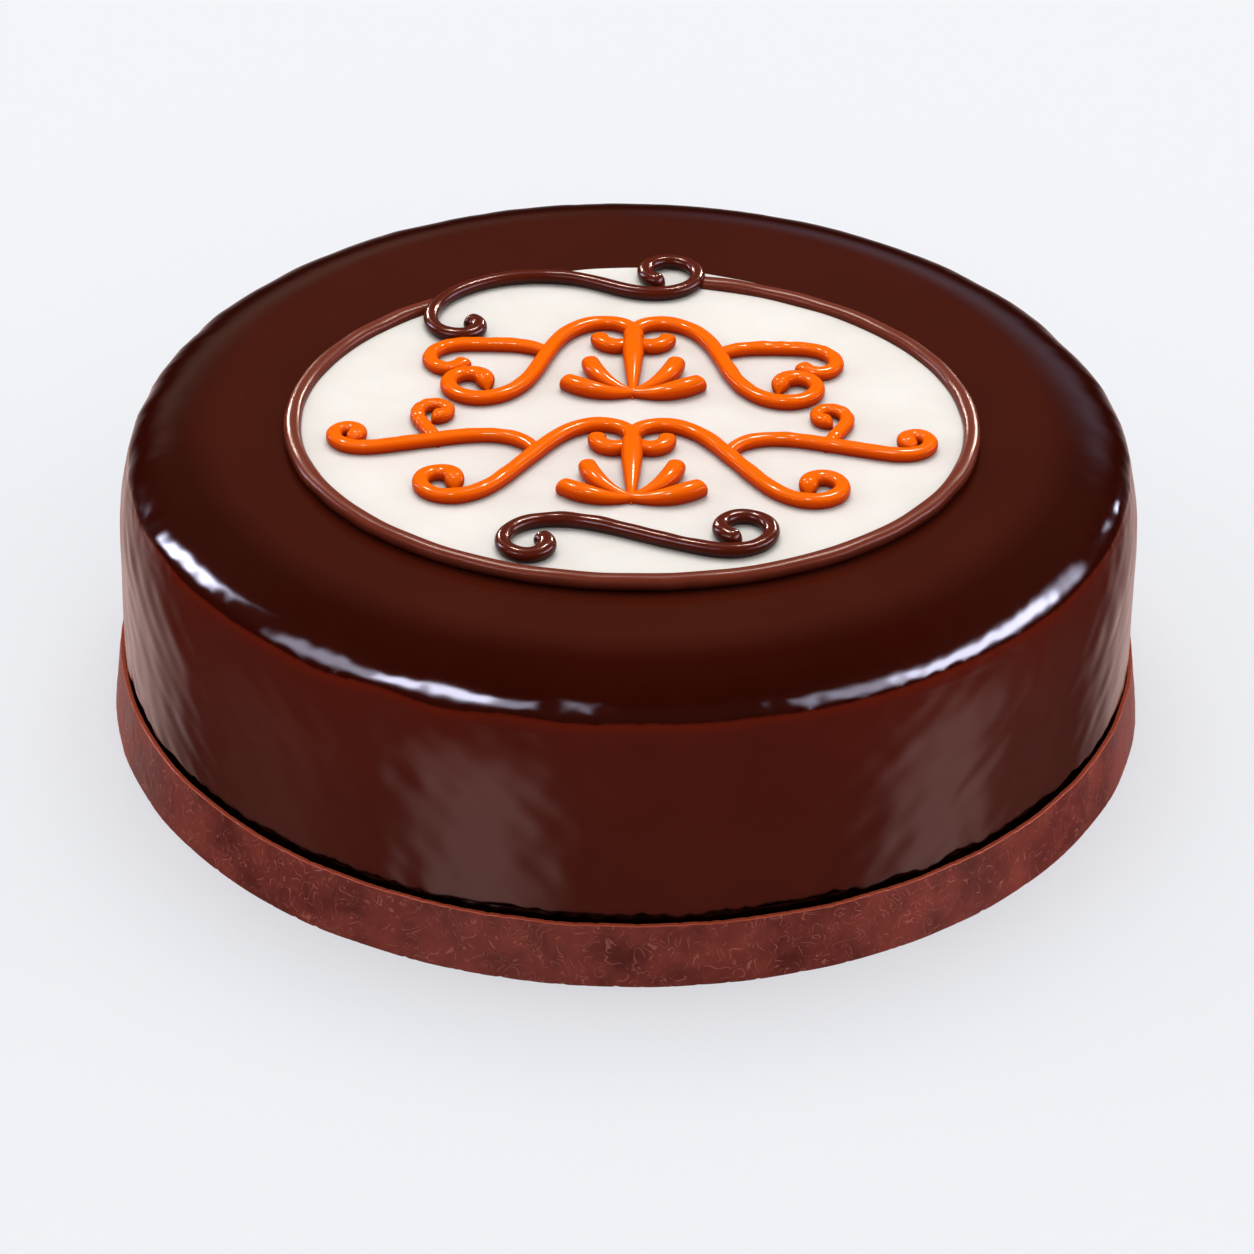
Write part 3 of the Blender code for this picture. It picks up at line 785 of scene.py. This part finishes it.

# %% [markdown]
# ## Piping chocolate
# Melted chocolate for piping sets between satin and gloss. It is milkier than the glaze and a warm
# brown, and its colour is painted from nearly black at the foot, where it meets the glaze, to lighter
# at the top: painted shade below and painted light above. Fine marks run along the border, where
# the nozzle dragged. The material reads two attributes: the distance along the bead for the marks,
# and the height within the bead for the painted shade at the foot.
# %% Piping chocolate material


def piping_material(name, low, high, gloss, shine):
    material, tree, shader = new_material(name, {
        "Roughness": gloss, "IOR": 1.5, "Specular IOR Level": shine})
    where = add(tree, "TexCoord").outputs["Object"]
    along = add(tree, "Attribute", {"attribute_name": "along"}).outputs["Fac"]
    rise = add(tree, "Attribute", {"attribute_name": "rise"}).outputs["Fac"]
    cloud = add(tree, "TexNoise", None, {"Vector": where, "Scale": 1 / (7 * MM), "Detail": 3.0})
    level = add(tree, "Math", {"operation": "MULTIPLY_ADD"}, {0: cloud, 1: 0.3, 2: -0.15})
    level = add(tree, "Math", {"operation": "ADD"}, {0: level, 1: rise})
    # The ramp over the height in the bead paints shade: dark at the foot, lighter at the top.
    tone = add(tree, "ValToRGB", {"stops": [(0.25, colour(low)), (0.95, colour(high))]}, {"Fac": level})
    tree.links.new(tone.outputs["Color"], shader.inputs["Base Color"])
    drag = add(tree, "CombineXYZ", None, {"X": along, "Y": rise})
    drag = add(tree, "Mapping", None, {"Vector": drag, "Scale": (1 / (9 * MM), 14.0, 1.0)})
    marks = add(tree, "TexNoise", None, {"Vector": drag, "Scale": 1.0, "Detail": 2.0})
    bump = add(tree, "Bump", None, {"Strength": 0.18, "Distance": 0.12 * MM, "Height": marks})
    tree.links.new(bump.outputs["Normal"], shader.inputs["Normal"])
    return material


BORDER_WIDTH = 3.65 * MM
BORDER_HEIGHT = 3.5 * MM
SCROLL_WIDTH = 3.3 * MM
SCROLL_HEIGHT = 3.1 * MM
ON_PLAQUE = PLAQUE_TOP - 0.1 * MM


def swelling(count, share=0.06, start=1.2, end=1.2):
    """Widths for a stroke whose ends swell: 1 in the middle, start and end at its two ends."""
    t = np.linspace(0, 1, count)
    return 1 + (start - 1) * hump(t, 0, share) + (end - 1) * hump(t, 1, share)


def stroke_bead(path, width, tall, seed, squareness=2.2, bottom=ON_PLAQUE, start=1.2, end=1.2):
    """A bead of this width and height that swells at its ends and varies as if piped by hand."""
    press = swelling(len(path), 0.06, start, end) * hand(len(path), seed)
    return bead(path, width * press, tall * press ** 0.7, bottom, squareness)


# The first colour is painted shade at each bead's foot, the second painted light on its top.
border_chocolate = piping_material("milky_piping_chocolate", "#200503", "#73301F", 0.26, 0.08)
scroll_chocolate = piping_material("piping_chocolate", "#190301", "#5A1E10", 0.16, 0.12)
border = bead(border_path(), BORDER_WIDTH * hand(BORDER_POINTS, 41, (4, 30)),
              BORDER_HEIGHT * hand(BORDER_POINTS, 42, (4, 30)), CAKE_TOP - 0.1 * MM, 2.3)
channels = ["along", "rise"]
border_piece = make_piece("piped_border", [border], channels, "plaque_border",
                          border_chocolate)
back_piece = make_piece("piped_scroll_back", [stroke_bead(back_scroll, SCROLL_WIDTH, SCROLL_HEIGHT, 43)],
                        channels, "scroll_back", scroll_chocolate)
front_piece = make_piece("piped_scroll_front", [stroke_bead(front_scroll, SCROLL_WIDTH, SCROLL_HEIGHT, 44)],
                         channels, "scroll_front", scroll_chocolate)

# %% [markdown]
# ## The orange ornaments
# Two ornaments in orange royal icing fill the plaque: curling strokes to the left and right of a
# fan of leaves, one over the other. Each stroke is piped once and mirrored. Branches start on the
# main stroke, so a branch's first point is read off the stroke that carries it. A leaf is a short
# bead that starts thin and swells, as when the bag is pressed and let go.
# %% Ornament paths
ORNAMENT_AXIS = 0.5 * MM
SOFT_CURL = (330, 0.5, 1.3)
NO_CURL = (0, 1, 1)
LEAF_POINTS = 60


def mirrored(path):
    """The same path on the other side of the ornament's axis."""
    return np.column_stack([2 * ORNAMENT_AXIS - path[:, 0], path[:, 1]])


def part_way(path, share):
    """The point at this share of a path."""
    return path[int(round(share * (len(path) - 1)))]


def leaf_path(root, reach, bend):
    """A line from root to root + reach, bowed sideways by bend times its length: 4 t (1 - t)."""
    t = np.linspace(0, 1, LEAF_POINTS)[:, None]
    root, reach = np.array(root), np.array(reach)
    sideways = np.array([-reach[1], reach[0]])
    return root + reach * t + sideways * bend * 4 * t * (1 - t)


def fan_leaves(root):
    """Five leaves from one root: the centre one, then two pairs."""
    sides = [leaf_path(root, (0.009, 0.0105), -0.14), leaf_path(root, (0.0135, 0.0025), -0.14)]
    return [leaf_path(root, (0.0, 0.0205), 0.0)] + sides + [mirrored(path) for path in sides]


def back_strokes():
    main = scroll_path((0.0077, 0.0255), (0.0315, 0.0075), (-330, 0.5, 1.3), SOFT_CURL, 0)
    wing = scroll_path(part_way(main, 0.458), (0.0365, 0.0140), (-50, 0.4, 1.0), (-250, 0.6, 0.7), 20)
    return [main, wing]


def front_strokes():
    main = scroll_path((0.0077, -0.0165), (0.0365, -0.0335), (-330, 0.46, 1.3), (330, 0.44, 1.3), 0)
    wing = scroll_path(part_way(main, 0.458), (0.0575, -0.0165), (-90, 0.4, 1.0), (330, 0.42, 1.3), 0)
    twig = scroll_path(part_way(wing, 0.417), (0.0405, -0.0075), NO_CURL, (280, 0.7, 0.6), 0)
    return [main, wing, twig]


print("front ornament strokes:", len(front_strokes()), "each side, and five leaves")

# %% [markdown]
# ## Orange icing
# Royal icing is sugar beaten with egg white. Stiff enough to pipe, it keeps a flattish top and
# steep sides, and dries with a soft gloss. Its colour is a paste dye, strong orange, painted darker
# and redder down the sides towards the foot as painted shade.
# %% Orange icing material


def orange_material():
    material, tree, shader = new_material("orange_royal_icing", {
        "Roughness": 0.15, "IOR": 1.48, "Specular IOR Level": 0.04})
    where = add(tree, "TexCoord").outputs["Object"]
    rise = add(tree, "Attribute", {"attribute_name": "rise"}).outputs["Fac"]
    # The ramp over the height in the bead paints shade: deep red at the foot, strong orange on top.
    tone = add(tree, "ValToRGB", {"stops": [(0.3, colour("#861F00")), (0.68, colour("#D04500")),
                                      (0.95, colour("#FC6C02"))]},
               {"Fac": rise})
    tree.links.new(tone.outputs["Color"], shader.inputs["Base Color"])
    skin = add(tree, "TexNoise", None, {"Vector": where, "Scale": 1 / (2.5 * MM), "Detail": 3.0})
    bump = add(tree, "Bump", None, {"Strength": 0.2, "Distance": 0.1 * MM, "Height": skin})
    tree.links.new(bump.outputs["Normal"], shader.inputs["Normal"])
    return material


ORNAMENT_WIDTH = 3.5 * MM
ORNAMENT_HEIGHT = 3.0 * MM
LEAF_WIDTH = 4.6 * MM
LEAF_HEIGHT = 4.2 * MM
LEAF_ROOT = 0.45


def ornament(strokes, leaves, seed):
    """Shells for the strokes, their mirror images and the leaves."""
    shells = []
    for order, path in enumerate(strokes):
        slim = 1 - 0.05 * order
        for side, line in enumerate((path, mirrored(path))):
            start = 1.12 if order == 0 else 0.8
            shells.append(stroke_bead(line, ORNAMENT_WIDTH * slim, ORNAMENT_HEIGHT * slim,
                                      seed + 10 * order + side, 2.5, start=start, end=1.15))
    swell = LEAF_ROOT + (1 - LEAF_ROOT) * np.sin(np.linspace(0, 0.62 * math.pi, LEAF_POINTS)) ** 1.5
    for order, path in enumerate(leaves):
        press = swell * (1 - 0.05 * ((order + 1) // 2))
        shells.append(bead(path, LEAF_WIDTH * press, LEAF_HEIGHT * press ** 0.8, ON_PLAQUE, 2.3))
    return shells


orange = orange_material()
back_shells = ornament(back_strokes(), fan_leaves((ORNAMENT_AXIS, 0.004)), 50)
back_ornament = make_piece("orange_ornament_back", back_shells, channels, "icing_back",
                           orange)
front_shells = ornament(front_strokes(), fan_leaves((ORNAMENT_AXIS, -0.0385)), 80)
front_ornament = make_piece("orange_ornament_front", front_shells, channels, "icing_front",
                            orange)
for piece in (border_piece, back_piece, front_piece):
    chocolate_only.objects.link(piece)
for piece in (back_ornament, front_ornament):
    orange_only.objects.link(piece)
